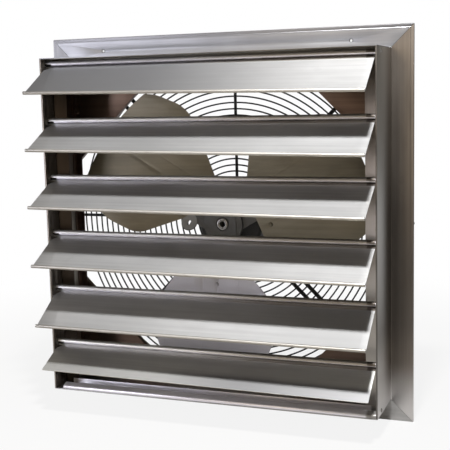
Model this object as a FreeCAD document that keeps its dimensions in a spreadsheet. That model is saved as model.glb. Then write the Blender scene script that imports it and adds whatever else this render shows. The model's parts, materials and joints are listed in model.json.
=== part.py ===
import FreeCAD
import Part
import Sketcher
import math
import os
import re

# Wall exhaust fan with a six-louvre shutter.
# X points right seen from the outlet, Y into the building, Z up.
# The origin is where the fan axis meets the front of the mounting flange, which bears on the wall.

SIZES = (
    ("case_width", "660"),
    ("case_depth", "125"),
    ("case_sheet", "1.5"),
    ("flange_width", "41"),
    ("hem_width", "6"),
    ("hem_offset", "0.6"),
    ("mitre_gap", "0.4"),
    ("relief_cut", "5"),
    ("fixing_inset", "74"),
    ("fixing_offset", "15"),
    ("fixing_bore", "5"),
    ("rear_lip", "15"),
    ("angle_sheet", "1.5"),
    ("angle_leg", "14"),
    ("gusset_sheet", "1.5"),
    ("gusset_flange", "12"),
    ("rail_sheet", "1.2"),
    ("rail_depth", "45"),
    ("jamb_flange", "29"),
    ("rail_upstand", "10"),
    ("sill_front", "6.5"),
    ("sill_slope_run", "12"),
    ("sill_lip", "11.5"),
    ("rail_left_gap", "16.6"),
    ("rail_right_gap", "0.3"),
    ("shutter_rivet_setback", "32"),
    ("shutter_rivet_inset", "8"),
    ("first_pivot_drop", "11.5"),
    ("last_pivot_rise", "96"),
    ("pivot_setback", "16"),
    ("louvre_sheet", "1.6"),
    ("louvre_lap_gap", "3.5"),
    ("sill_gap", "1"),
    ("louvre_end_gap", "1.3"),
    ("edge_roll", "6.5"),
    ("corner_cut", "12"),
    ("curl_opening", "27"),
    ("rod_diameter", "8"),
    ("barrel_play", "0.1"),
    ("rod_end_gap", "0.3"),
    ("bush_wall", "1.5"),
    ("bush_rim", "2"),
    ("bush_flange", "2"),
    ("bush_play", "0.08"),
    ("seat_play", "0.05"),
    ("open_angle_1", "56.5"),
    ("open_angle_2", "58.5"),
    ("open_angle_3", "60.5"),
    ("open_angle_4", "59"),
    ("open_angle_5", "55"),
    ("open_angle_6", "59.5"),
    ("rivet_bore", "4.8"),
    ("rivet_rim", "2.1"),
    ("rivet_rise", "1.8"),
    ("rivet_tail_rim", "1"),
    ("rivet_tail_rise", "1.1"),
    ("ring_count", "22"),
    ("ring_wire", "3.6"),
    ("ring_clearance", "7.4"),
    ("ring_margin", "0.3"),
    ("guard_standoff", "66"),
    ("spoke_diameter", "6"),
    ("spoke_bend", "8"),
    ("spoke_foot_margin", "3"),
    ("strut_diameter", "8"),
    ("strut_spread", "20"),
    ("strut_bend", "20"),
    ("motor_diameter", "136"),
    ("motor_front", "18"),
    ("motor_length", "124"),
    ("shell_wall", "2.5"),
    ("bell_depth", "16"),
    ("bell_clearance", "1.5"),
    ("bearing_outer", "35"),
    ("bearing_width", "11"),
    ("shaft_diameter", "15"),
    ("shaft_nose", "12.7"),
    ("stator_length", "50"),
    ("air_gap", "0.5"),
    ("stator_bore", "80"),
    ("band_sheet", "3"),
    ("band_width", "18"),
    ("lug_depth", "10"),
    ("gland_diameter", "18"),
    ("gland_bore", "9"),
    ("gland_length", "16"),
    ("tip_clearance", "10"),
    ("blade_sheet", "1.6"),
    ("blade_pitch_angle", "10"),
    ("camber_radius", "480"),
    ("fan_setback", "10"),
    ("blade_count", "3"),
    ("first_blade_angle", "30"),
    ("root_distance", "70"),
    ("root_round", "6"),
    ("trailing_root", "68"),
    ("trailing_root_step", "12"),
    ("trailing_run", "105"),
    ("trailing_width", "163"),
    ("trailing_round", "70"),
    ("trailing_tip", "142"),
    ("trailing_tip_round", "85"),
    ("tip_bulge", "12"),
    ("leading_tip", "66"),
    ("leading_tip_round", "60"),
    ("leading_run", "150"),
    ("leading_width", "112"),
    ("leading_round", "90"),
    ("hip_run", "70"),
    ("hip_width", "104"),
    ("hip_round", "50"),
    ("shoulder_run", "8"),
    ("shoulder_width", "34"),
    ("leading_root", "20"),
    ("arm_sheet", "4"),
    ("arm_half_width", "28"),
    ("arm_overlap", "5"),
    ("arm_round", "12"),
    ("pad_start", "8"),
    ("pad_run", "66"),
    ("pad_trailing_width", "59"),
    ("pad_leading_width", "48"),
    ("pad_tip_half_width", "35"),
    ("pad_round", "8"),
    ("ear_run", "62"),
    ("ear_across", "34"),
    ("ear_radius", "15.5"),
    ("ear_slot_width", "5"),
    ("ear_slot_length", "10"),
    ("near_rivet_run", "14"),
    ("near_rivet_trailing", "48"),
    ("near_rivet_leading", "30"),
    ("far_rivet_run", "52"),
    ("far_rivet_across", "17.5"),
    ("hub_radius", "40"),
    ("hub_thickness", "8"),
    ("hub_recess", "28"),
    ("hub_recess_depth", "3"),
    ("boss_diameter", "21"),
    ("boss_front", "17"),
    ("boss_gap", "5"),
    ("nose_recess", "14"),
    ("set_screw", "6"),
    ("set_screw_length", "9"),
)

doc = FreeCAD.newDocument("ExhaustFan")
sheet = doc.addObject("Spreadsheet::Sheet", "Sizes")
for row, (alias, value) in enumerate(SIZES, 1):
    sheet.set(f"A{row}", alias)
    sheet.set(f"B{row}", value)
    sheet.setAlias(f"B{row}", alias)
doc.recompute()

ALIASES = {alias for alias, value in SIZES}
NODES = []


def bound(formula):
    """The formula as an expression, with each size's name pointing at its cell."""
    def address(word):
        return f"Sizes.{word[0]}" if word[0] in ALIASES else word[0]

    return re.sub(r"[a-z_][a-z_0-9]*", address, formula)


def number(formula):
    """The formula's value in millimetres, degrees or as a count."""
    return float(sheet.evalExpression(bound(formula)))


def node(thing, label):
    """Names a finished sub-part, so that it is checked and written."""
    thing.Label = label
    NODES.append(thing)
    return thing


def vector(x, y, z):
    return FreeCAD.Vector(x, y, z)


def new_sketch(body, role, lift=None):
    """A sketch on one of the body's planes, or lifted off it along its normal."""
    sketch = body.newObject("Sketcher::SketchObject", "Sketch")
    plane = next(item for item in body.Origin.OriginFeatures if item.Role == role)
    sketch.AttachmentSupport = [(plane, "")]
    sketch.MapMode = "FlatFace"
    if lift is not None:
        sketch.setExpression("AttachmentOffset.Base.z", bound(lift))
    return sketch


def bind_point(sketch, geometry, position, corner):
    """Ties one point of a sketch to two formulas measured from the sketch's origin."""
    for kind, formula in zip(("DistanceX", "DistanceY"), corner):
        constraint = Sketcher.Constraint(kind, -1, 1, geometry, position, number(formula))
        index = sketch.addConstraint(constraint)
        sketch.setExpression(f"Constraints[{index}]", bound(formula))


def polygon(body, role, corners, lift=None):
    """A closed outline on one of the body's planes, each corner a pair of formulas."""
    sketch = new_sketch(body, role, lift)
    points = [vector(number(x), number(y), 0) for x, y in corners]
    count = len(points)
    for index in range(count):
        sketch.addGeometry(Part.LineSegment(points[index], points[(index + 1) % count]), False)
    for index in range(count):
        sketch.addConstraint(Sketcher.Constraint("Coincident", index, 2, (index + 1) % count, 1))
        bind_point(sketch, index, 1, corners[index])
    return sketch


def circles(body, role, centres, diameter):
    """Equal circles on one of the body's planes."""
    sketch = new_sketch(body, role)
    for centre in centres:
        middle = vector(number(centre[0]), number(centre[1]), 0)
        index = sketch.addGeometry(Part.Circle(middle, vector(0, 0, 1), number(diameter) / 2), False)
        bind_point(sketch, index, 3, centre)
        constraint = sketch.addConstraint(Sketcher.Constraint("Diameter", index, number(diameter)))
        sketch.setExpression(f"Constraints[{constraint}]", bound(diameter))
    return sketch


def pad(body, sketch, length, side="One side", reverse=False):
    feature = body.newObject("PartDesign::Pad", "Pad")
    feature.Profile = sketch
    feature.SideType = side
    feature.Reversed = reverse
    feature.setExpression("Length", bound(length))
    return feature


def drill(body, sketch):
    """Cuts the sketch right through the body, both ways."""
    feature = body.newObject("PartDesign::Pocket", "Pocket")
    feature.Profile = sketch
    feature.Type = "ThroughAll"
    feature.SideType = "Symmetric"
    return feature


def revolve(body, sketch):
    """Turns an outline of radius and height about the fan axis."""
    feature = body.newObject("PartDesign::Revolution", "Revolution")
    feature.Profile = sketch
    feature.ReferenceAxis = (sketch, ["V_Axis"])
    feature.Angle = 360
    return feature


def cylinder(name, diameter, length, base, direction):
    """A cylinder from its base point along a direction; sizes are formulas."""
    thing = doc.addObject("Part::Cylinder", name)
    thing.setExpression("Radius", bound(f"({diameter}) / 2"))
    thing.setExpression("Height", bound(length))
    place = vector(*(number(value) for value in base))
    thing.Placement = FreeCAD.Placement(place, FreeCAD.Rotation(vector(0, 0, 1), direction))
    return thing


def boolean(kind, name, base, tool):
    thing = doc.addObject(f"Part::{kind}", name)
    thing.Base = base
    thing.Tool = tool
    return thing


def sleeve(name, outer, inner, length, start):
    """A tube round the fan axis, from start towards the building."""
    base = ("0", start, "0")
    whole = cylinder(name + "_outer", outer, length, base, ALONG_Y)
    bore = cylinder(name + "_bore", inner, length, base, ALONG_Y)
    return boolean("Cut", name, whole, bore)


def group(label, shapes):
    """Equal loose pieces in one sub-part."""
    thing = doc.addObject("Part::Feature", label)
    thing.Shape = Part.makeCompound(shapes)
    return node(thing, label)


def single(label, shape):
    thing = doc.addObject("Part::Feature", label)
    thing.Shape = shape
    return node(thing, label)


ALONG_X = vector(1, 0, 0)
ALONG_Y = vector(0, 1, 0)
ALONG_Z = vector(0, 0, 1)

HALF = "case_width / 2"
INSIDE = "(case_width / 2 - case_sheet)"
WEB = "(case_width / 2 - case_sheet - rail_sheet)"
FRONT = "-case_depth"
RAIL_BACK = "(rail_depth - case_depth)"
FLAT = "(case_width / 2 - rear_lip)"
PIVOT_DEPTH = "(pivot_setback - case_depth)"
BARREL = "(rod_diameter / 2 + barrel_play + louvre_sheet)"
LOUVRE_COUNT = 6
LOUVRE_PITCH = f"((case_width - first_pivot_drop - last_pivot_rise) / {LOUVRE_COUNT - 1})"


def pivot_height(index):
    return f"(case_width / 2 - first_pivot_drop - {index} * {LOUVRE_PITCH})"


def turned(corners, side):
    """Carries an outline drawn for the top wall to one of the four walls."""
    if side == "top":
        return corners
    if side == "bottom":
        return [(x, f"-({z})") for x, z in corners]
    if side == "right":
        return [(z, x) for x, z in corners]
    return [(f"-({z})", x) for x, z in corners]


# Housing: four folded sheets, each a wall and its part of the mounting flange.

def housing_side(side):
    body = doc.addObject("PartDesign::Body", "Housing")
    across = HALF if side in ("top", "bottom") else INSIDE
    wall = [(f"-{across}", INSIDE), (across, INSIDE), (across, HALF), (f"-{across}", HALF)]
    pad(body, polygon(body, "XZ_Plane", turned(wall, side)), "case_depth")
    rim = f"({HALF} + flange_width)"
    step = f"({rim} - hem_width)"
    near = f"({HALF} - relief_cut)"
    far = f"({HALF} + relief_cut)"
    mitre = "mitre_gap / 2"
    flange = [
        (f"-{near}", INSIDE), (near, INSIDE), (near, HALF), (f"{far} - {mitre}", far),
        (f"{step} - {mitre}", step), (f"{mitre} - {step}", step), (f"{mitre} - {far}", far),
        (f"-{near}", HALF),
    ]
    pad(body, polygon(body, "XZ_Plane", turned(flange, side)), "case_sheet", reverse=True)
    hem = [
        (f"{mitre} - {step}", step), (f"{step} - {mitre}", step),
        (f"{rim} - {mitre}", rim), (f"{mitre} - {rim}", rim),
    ]
    pad(body, polygon(body, "XZ_Plane", turned(hem, side), "-hem_offset"), "2 * case_sheet", reverse=True)
    if side in ("top", "bottom"):
        row = [(f"{way} ({HALF} - fixing_inset)", f"{HALF} + fixing_offset") for way in ("-", "")]
        drill(body, circles(body, "XZ_Plane", turned(row, side), "fixing_bore"))
    else:
        drill(body, circles(body, "YZ_Plane", SHUTTER_RIVETS, "rivet_bore"))
    return node(body, f"housing_{side}")


RIVET_DEPTH = "(shutter_rivet_setback - case_depth)"
RIVET_HEIGHT = "(case_width / 2 - shutter_rivet_inset)"
SHUTTER_RIVETS = [(RIVET_DEPTH, f"{way} {RIVET_HEIGHT}") for way in ("-", "")]
for side in ("top", "bottom", "left", "right"):
    housing_side(side)


# Rear opening: angles on the four walls and gussets across the four corners.

ANGLE_ROW = f"(({FLAT} + {INSIDE}) / 2)"
GUSSET_REACH = f"({FLAT} * sqrt(2) - {INSIDE})"
GUSSET_ROW = f"(({GUSSET_REACH} + {INSIDE}) / 2)"


def rear_angle(side):
    body = doc.addObject("PartDesign::Body", "Angle")
    across = INSIDE if side in ("top", "bottom") else FLAT
    leaf = [(f"-{across}", FLAT), (across, FLAT), (across, INSIDE), (f"-{across}", INSIDE)]
    pad(body, polygon(body, "XZ_Plane", turned(leaf, side)), "angle_sheet")
    skin = f"{INSIDE} - angle_sheet"
    leg = [(f"-{across}", skin), (across, skin), (across, INSIDE), (f"-{across}", INSIDE)]
    pad(body, polygon(body, "XZ_Plane", turned(leg, side)), "angle_leg")
    holes = [(f"{way} {GUSSET_ROW}", ANGLE_ROW) for way in ("-", "")]
    drill(body, circles(body, "XZ_Plane", turned(holes, side), "rivet_bore"))
    return node(body, f"rear_angle_{side}")


def corner_gusset(name, right, up):
    body = doc.addObject("PartDesign::Body", "Gusset")
    fold = f"({GUSSET_REACH} + gusset_sheet * sqrt(2))"

    def corner(x, z):
        return (f"{right} * {x}", f"{up} * {z}")

    plate = [corner(INSIDE, INSIDE), corner(GUSSET_REACH, INSIDE), corner(INSIDE, GUSSET_REACH)]
    pad(body, polygon(body, "XZ_Plane", plate), "gusset_sheet", reverse=True)
    edge = [corner(INSIDE, GUSSET_REACH), corner(GUSSET_REACH, INSIDE)]
    strip = edge + [corner(fold, INSIDE), corner(INSIDE, fold)]
    pad(body, polygon(body, "XZ_Plane", strip), "gusset_flange", reverse=True)
    holes = [corner(GUSSET_ROW, ANGLE_ROW), corner(ANGLE_ROW, GUSSET_ROW)]
    drill(body, circles(body, "XZ_Plane", holes, "rivet_bore"))
    return node(body, f"corner_gusset_{name}")


for side in ("top", "bottom", "left", "right"):
    rear_angle(side)
CORNERS = (("top_right", 1, 1), ("top_left", -1, 1), ("bottom_left", -1, -1), ("bottom_right", 1, -1))
for name, right, up in CORNERS:
    corner_gusset(name, right, up)


# Shutter rails: jambs that carry the louvre pivots, and a header and sill between them.

def jamb(name, right):
    body = doc.addObject("PartDesign::Body", "Jamb")
    leaf = f"{INSIDE} - jamb_flange"
    inner = f"{RAIL_BACK} - rail_sheet"
    section = [
        (INSIDE, FRONT), (INSIDE, RAIL_BACK), (leaf, RAIL_BACK), (leaf, inner), (WEB, inner), (WEB, FRONT),
    ]
    section = [(f"{right} * ({x})", y) for x, y in section]
    pad(body, polygon(body, "XY_Plane", section), f"2 * {INSIDE}", side="Symmetric")
    pivots = [(PIVOT_DEPTH, pivot_height(index)) for index in range(LOUVRE_COUNT)]
    seat = "rod_diameter + 2 * (bush_play + bush_wall + seat_play)"
    drill(body, circles(body, "YZ_Plane", pivots, seat))
    drill(body, circles(body, "YZ_Plane", SHUTTER_RIVETS, "rivet_bore"))
    return node(body, f"shutter_jamb_{name}")


RAIL_FLOOR = f"({INSIDE} - rail_sheet)"
RAIL_NOSE = f"({FRONT} + rail_sheet)"
SILL_EDGE = f"({FRONT} + sill_slope_run)"
HEADER_NOSE = [(FRONT, RAIL_FLOOR)]
SILL_NOSE = [
    (RAIL_NOSE, RAIL_FLOOR), (RAIL_NOSE, f"{INSIDE} - sill_front + rail_sheet / 2"),
    (SILL_EDGE, f"{INSIDE} - sill_lip + rail_sheet"), (SILL_EDGE, f"{INSIDE} - sill_lip"),
    (FRONT, f"{INSIDE} - sill_front"),
]


def cross_rail(name, up, nose):
    """A rail on the top or bottom wall: its floor, its rear upstand and its nose at the front."""
    body = doc.addObject("PartDesign::Body", "Rail")
    back = f"{RAIL_BACK} - rail_sheet"
    inner = f"{back} - rail_sheet"
    upstand = f"{INSIDE} - rail_upstand"
    section = [(FRONT, INSIDE), (back, INSIDE), (back, upstand), (inner, upstand), (inner, RAIL_FLOOR)]
    section = [(y, f"{up} * ({z})") for y, z in section + nose]
    sketch = polygon(body, "YZ_Plane", section, f"rail_left_gap - {WEB}")
    pad(body, sketch, f"2 * {WEB} - rail_left_gap - rail_right_gap")
    return node(body, f"shutter_{name}")


jamb("left", -1)
jamb("right", 1)
cross_rail("header", 1, HEADER_NOSE)
cross_rail("sill", -1, SILL_NOSE)


# Louvres: a sheet rolled into a barrel at the top and a bead at the bottom, swung open on its rod.

def louvre(index):
    body = doc.addObject("PartDesign::Body", "Louvre")
    last = index == LOUVRE_COUNT - 1
    chord = f"({LOUVRE_PITCH} - louvre_lap_gap)"
    if last:
        chord = "(last_pivot_rise - case_sheet - sill_lip - sill_gap)"
    length = f"2 * ({WEB} - bush_flange - louvre_end_gap)"
    face = f"{BARREL} - louvre_sheet"
    low = f"-{chord}" if last else f"edge_roll / 2 - {chord}"
    blade = [(BARREL, "0"), (BARREL, low), (face, low), (face, "0")]
    pad(body, polygon(body, "YZ_Plane", blade), length, side="Symmetric")
    pad(body, circles(body, "YZ_Plane", [("0", "0")], f"2 * {BARREL}"), length, side="Symmetric")
    drill(body, circles(body, "YZ_Plane", [("0", "0")], "rod_diameter + 2 * barrel_play"))
    if not last:
        bead = [(f"{BARREL} - edge_roll / 2", low)]
        pad(body, circles(body, "YZ_Plane", bead, "edge_roll"), length, side="Symmetric")
        drill(body, circles(body, "YZ_Plane", bead, "edge_roll - 2 * louvre_sheet"))
    high = f"-{BARREL}"
    mouth = [("0", "0"), (f"{high} * tan(curl_opening)", high), (face, high), (face, "0")]
    drill(body, polygon(body, "YZ_Plane", mouth))
    end = f"-({length}) / 2"
    corner = [(end, high), (f"{end} + corner_cut", high), (end, f"{high} - corner_cut")]
    drill(body, polygon(body, "XZ_Plane", corner))
    place = vector(0, number(PIVOT_DEPTH), number(pivot_height(index)))
    body.Placement = FreeCAD.Placement(place, FreeCAD.Rotation(ALONG_X, -number(f"open_angle_{index + 1}")))
    return node(body, f"louvre_{index + 1}")


def louvre_rod(index):
    base = (f"rod_end_gap - {INSIDE}", PIVOT_DEPTH, pivot_height(index))
    rod = cylinder("Rod", "rod_diameter", f"2 * ({INSIDE} - rod_end_gap)", base, ALONG_X)
    return node(rod, f"louvre_rod_{index + 1}")


for index in range(LOUVRE_COUNT):
    louvre(index)
    louvre_rod(index)


def pivot_bushes():
    bore = number("rod_diameter / 2 + bush_play")
    outer = bore + number("bush_wall")
    inner_face = number(WEB)
    outer_face = number(INSIDE) - number("rod_end_gap")
    collar_face = inner_face - number("bush_flange")
    shapes = []
    for right in (-1, 1):
        for index in range(LOUVRE_COUNT):
            axis = vector(0, number(PIVOT_DEPTH), number(pivot_height(index)))
            way = vector(right, 0, 0)
            start = axis + way * collar_face
            barrel = Part.makeCylinder(outer, outer_face - collar_face, start, way)
            collar = Part.makeCylinder(outer + number("bush_rim"), inner_face - collar_face, start, way)
            hole = Part.makeCylinder(bore, outer_face - collar_face, start, way)
            shapes.append(barrel.fuse(collar).cut(hole).removeSplitter())
    group("pivot_bushes", shapes)


def rivet(start, way, grip):
    """A rivet through sheets of the given grip, with its larger head at the start."""
    bore = number("rivet_bore / 2")
    rise = number("rivet_rise")
    tail_rise = number("rivet_tail_rise")
    crown = Part.makeCone(bore, bore + number("rivet_rim"), rise, start - way * rise, way)
    stem = Part.makeCylinder(bore - number("seat_play"), grip, start, way)
    tail = Part.makeCylinder(bore + number("rivet_tail_rim"), tail_rise, start + way * grip, way)
    return crown.fuse([stem, tail]).removeSplitter()


def shutter_rivets():
    grip = number("case_sheet + rail_sheet")
    shapes = []
    for right in (-1, 1):
        for depth, height in SHUTTER_RIVETS:
            start = vector(right * number(HALF), number(depth), number(height))
            shapes.append(rivet(start, vector(-right, 0, 0), grip))
    group("shutter_rivets", shapes)


def gusset_rivets():
    grip = number("gusset_sheet + angle_sheet")
    along = number(GUSSET_ROW)
    row = number(ANGLE_ROW)
    start = -number("angle_sheet")
    shapes = []
    for name, right, up in CORNERS:
        for x, z in ((along, row), (row, along)):
            shapes.append(rivet(vector(right * x, start, up * z), ALONG_Y, grip))
    group("gusset_rivets", shapes)


pivot_bushes()
shutter_rivets()
gusset_rivets()


# Wire guard: concentric rings welded to the front of spokes and motor struts.

WIRE_BACK = "(guard_standoff + ring_wire)"
SPOKE_REACH = f"({HALF} + flange_width - hem_width - spoke_foot_margin - spoke_diameter / 2)"
RING_OUTER = f"({SPOKE_REACH} - spoke_bend - ring_margin - ring_wire / 2)"
RING_INNER = "(motor_diameter / 2 + lug_depth + ring_clearance)"
STRUT_REACH = f"({RING_OUTER} + ring_wire / 2 + ring_margin + strut_bend)"
STRUT_START = "(motor_diameter / 2 + lug_depth)"


def bent_rod(diameter, inner, outer, foot, bend, angle, offset=0):
    """A rod that runs outward behind the rings, then bends forward to its foot."""
    depth = number(WIRE_BACK) + diameter / 2
    start = vector(inner, depth, offset)
    turn = vector(outer - bend, depth, offset)
    knee = bend * math.sqrt(0.5)
    middle = vector(outer - bend + knee, depth - bend + knee, offset)
    drop = vector(outer, depth - bend, offset)
    end = vector(outer, foot, offset)
    run = Part.LineSegment(start, turn).toShape()
    corner = Part.Arc(turn, middle, drop).toShape()
    leg = Part.LineSegment(drop, end).toShape()
    profile = Part.Wire([Part.Circle(start, ALONG_X, diameter / 2).toShape()])
    rod = Part.Wire([run, corner, leg]).makePipeShell([profile], True, False)
    rod.Placement = FreeCAD.Placement(vector(0, 0, 0), FreeCAD.Rotation(ALONG_Y, -angle))
    return rod


def guard_rings():
    rings = []
    for index in range(int(number("ring_count"))):
        middle = f"({RING_OUTER} - {index} * ({RING_OUTER} - {RING_INNER}) / (ring_count - 1))"
        outer = f"2 * {middle} + ring_wire"
        inner = f"2 * {middle} - ring_wire"
        rings.append(sleeve(f"Ring{index}", outer, inner, "ring_wire", "guard_standoff"))
    guard = doc.addObject("Part::Compound", "Rings")
    guard.Links = rings
    return node(guard, "guard_rings")


def guard_spokes():
    diameter = number("spoke_diameter")
    inner = number(f"{RING_INNER} - ring_wire / 2")
    reach = number(SPOKE_REACH)
    foot = number("case_sheet")
    bend = number("spoke_bend")
    rods = [bent_rod(diameter, inner, reach, foot, bend, angle) for angle in (0, 90, 180, 270)]
    group("guard_spokes", rods)


def motor_struts():
    diameter = number("strut_diameter")
    inner = number(STRUT_START)
    reach = number(STRUT_REACH)
    foot = number("gusset_sheet")
    bend = number("strut_bend")
    offset = number("strut_spread / 2")
    for corner, (name, right, up) in enumerate(CORNERS):
        angle = 45 + 90 * corner
        rods = [bent_rod(diameter, inner, reach, foot, bend, angle, way * offset) for way in (-1, 1)]
        group(f"motor_struts_{name}", rods)


guard_rings()
guard_spokes()
motor_struts()


# Motor: a shell between two bells, held by a band on the struts.

SHELL_START = "(motor_front + bell_depth)"
SHELL_LENGTH = "(motor_length - 2 * bell_depth)"
CORE_START = "(motor_front + motor_length / 2 - stator_length / 2)"


def bell(label, rear):
    body = doc.addObject("PartDesign::Body", "Bell")
    rim = "motor_diameter / 2"
    eye = "shaft_diameter / 2 + bell_clearance"
    pocket = "bearing_outer / 2 + seat_play"
    wall = "shell_wall"
    ledge = f"{wall} + bearing_width"
    section = [
        (eye, "0"), (f"{pocket} + 2 * {wall}", "0"), (f"{pocket} + 3 * {wall}", wall),
        (f"{rim} - 2 * {wall}", "bell_depth / 2"), (rim, f"bell_depth - {wall}"), (rim, "bell_depth"),
        (f"{rim} - {wall}", "bell_depth"), (f"{rim} - 2 * {wall}", f"bell_depth / 2 + {wall}"),
        (f"{pocket} + 3 * {wall}", f"2 * {wall}"), (f"{pocket} + {wall}", ledge), (pocket, ledge),
        (pocket, wall), (eye, wall),
    ]
    revolve(body, polygon(body, "XY_Plane", section))
    start = number("motor_front + motor_length") if rear else number("motor_front")
    body.Placement = FreeCAD.Placement(vector(0, start, 0), FreeCAD.Rotation(ALONG_X, 180 if rear else 0))
    return node(body, label)


bell("motor_front_bell", False)
bell("motor_rear_bell", True)
shell = sleeve("Shell", "motor_diameter", "motor_diameter - 2 * shell_wall", SHELL_LENGTH, SHELL_START)
node(shell, "motor_shell")
stator_outer = "motor_diameter - 2 * shell_wall - 2 * seat_play"
node(sleeve("Stator", stator_outer, "stator_bore", "stator_length", CORE_START), "motor_stator")
RACE_BORE = "shaft_diameter + 2 * seat_play"
FRONT_RACE = "motor_front + shell_wall"
REAR_RACE = "motor_front + motor_length - shell_wall - bearing_width"
node(sleeve("FrontRace", "bearing_outer", RACE_BORE, "bearing_width", FRONT_RACE), "front_bearing")
node(sleeve("RearRace", "bearing_outer", RACE_BORE, "bearing_width", REAR_RACE), "rear_bearing")
BAND_FRONT = f"({WIRE_BACK} + strut_diameter / 2 - band_width / 2)"


def motor_band():
    inner = number("motor_diameter / 2 + seat_play")
    outer = inner + number("band_sheet")
    width = number("band_width")
    start = number(BAND_FRONT)
    reach = number(STRUT_START)
    half = number("strut_spread / 2 + strut_diameter / 2 + band_sheet")
    band = Part.makeCylinder(outer, width, vector(0, start, 0), ALONG_Y)
    for corner in range(4):
        lug = Part.makeBox(reach, width, 2 * half, vector(0, start, -half))
        lug.rotate(vector(0, 0, 0), ALONG_Y, -45 - 90 * corner)
        band = band.fuse(lug)
    bore = Part.makeCylinder(inner, width, vector(0, start, 0), ALONG_Y)
    single("motor_band", band.cut(bore).removeSplitter())


motor_band()
GLAND_DEPTH = f"({BAND_FRONT} + band_width + {SHELL_START} + {SHELL_LENGTH}) / 2"
GLAND_END = "motor_diameter / 2 + gland_length"
gland_base = ("0", GLAND_DEPTH, "0")
motor_base = ("0", "motor_front", "0")
gland_body = cylinder("GlandBody", "gland_diameter", GLAND_END, gland_base, -ALONG_Z)
gland_bore = cylinder("GlandBore", "gland_bore", GLAND_END, gland_base, -ALONG_Z)
gland_seat = cylinder("GlandSeat", "motor_diameter + 2 * seat_play", "motor_length", motor_base, ALONG_Y)
gland_tube = boolean("Cut", "GlandTube", gland_body, gland_bore)
node(boolean("Cut", "Gland", gland_tube, gland_seat), "cable_gland")


# Fan: shaft and rotor, boss, spider and three cambered paddles.

SHOULDER = "motor_front - seat_play"


def fan_shaft():
    body = doc.addObject("PartDesign::Body", "Shaft")
    nose = "shaft_nose / 2"
    stem = "shaft_diameter / 2"
    start = "nose_recess - boss_front"
    end = "motor_front + motor_length"
    section = [("0", start), (nose, start), (nose, SHOULDER), (stem, SHOULDER), (stem, end), ("0", end)]
    revolve(body, polygon(body, "XY_Plane", section))
    return node(body, "fan_shaft")


fan_shaft()
rotor_outer = "stator_bore - 2 * air_gap"
node(sleeve("Rotor", rotor_outer, RACE_BORE, "stator_length", CORE_START), "motor_rotor")
BOSS_BACK = "(motor_front - boss_gap)"
BOSS_BORE = "shaft_nose + 2 * seat_play"
boss_tube = sleeve("BossTube", "boss_diameter", BOSS_BORE, f"{BOSS_BACK} + boss_front", "-boss_front")
screw_base = ("0", f"{BOSS_BACK} - set_screw", "shaft_nose / 2 + seat_play")
screw_hole = cylinder("ScrewHole", "set_screw + 2 * seat_play", "boss_diameter", screw_base, ALONG_Z)
node(boolean("Cut", "Boss", boss_tube, screw_hole), "hub_boss")
node(cylinder("SetScrew", "set_screw", "set_screw_length", screw_base, ALONG_Z), "hub_set_screw")


def rounded_face(outline):
    """A flat face in X and Z, its corners rounded by arcs that their sides limit."""
    corners = [vector(number(along), 0, number(across)) for along, across, radius in outline]
    count = len(corners)
    sides = [(corners[(index + 1) % count] - corners[index]) for index in range(count)]
    halves = [sides[index].getAngle(-sides[index - 1]) / 2 for index in range(count)]
    radii = [number(radius) for along, across, radius in outline]
    reaches = [radii[index] / math.tan(halves[index]) for index in range(count)]
    shares = []
    for index in range(count):
        before = sides[index - 1].Length / (reaches[index - 1] + reaches[index] + EDGE_MARGIN)
        after = sides[index].Length / (reaches[index] + reaches[(index + 1) % count] + EDGE_MARGIN)
        shares.append(min(1, before, after))
    ends = []
    edges = []
    for index in range(count):
        reach = reaches[index] * shares[index]
        before = vector(*sides[index - 1]).normalize() * -1
        after = vector(*sides[index]).normalize()
        start = corners[index] + before * reach
        end = corners[index] + after * reach
        ends.append((start, end))
        if reach > 0:
            radius = radii[index] * shares[index]
            inward = (before + after).normalize()
            middle = corners[index] + inward * (radius / math.sin(halves[index]) - radius)
            edges.append(Part.Arc(start, middle, end).toShape())
        else:
            edges.append(None)
    path = []
    for index in range(count):
        if edges[index] is not None:
            path.append(edges[index])
        path.append(Part.LineSegment(ends[index][1], ends[(index + 1) % count][0]).toShape())
    return Part.Face(Part.Wire(path))


CAMBER = number("camber_radius")
PITCH = math.radians(number("blade_pitch_angle"))
FAN_DEPTH = -number("fan_setback")
TIP = f"({FLAT} - tip_clearance)"
REACH = number(TIP)
EDGE_MARGIN = number("seat_play")


def camber_centre():
    """The axis of the paddle's curve, a line along the blade in front of the fan."""
    return vector(0, FAN_DEPTH - CAMBER * math.cos(PITCH), -CAMBER * math.sin(PITCH))


def column(face):
    """An outline carried right through the depth of the fan."""
    shape = face.extrude(vector(0, REACH, 0))
    shape.translate(vector(0, FAN_DEPTH - REACH / 2, 0))
    return shape


def curved_sheet(inner, outer, face):
    """The part of a curved sheet, between two radii, that lies behind an outline."""
    start = camber_centre() - ALONG_X * REACH
    skin = Part.makeCylinder(outer, 2 * REACH, start, ALONG_X)
    skin = skin.cut(Part.makeCylinder(inner, 2 * REACH, start, ALONG_X))
    return skin.common(column(face))


def surface_depth(across, radius):
    """The depth of the curved sheet's face of that radius, at a distance across the blade."""
    centre = camber_centre()
    return centre.y + math.sqrt(radius ** 2 - (across - centre.z) ** 2)


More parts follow.
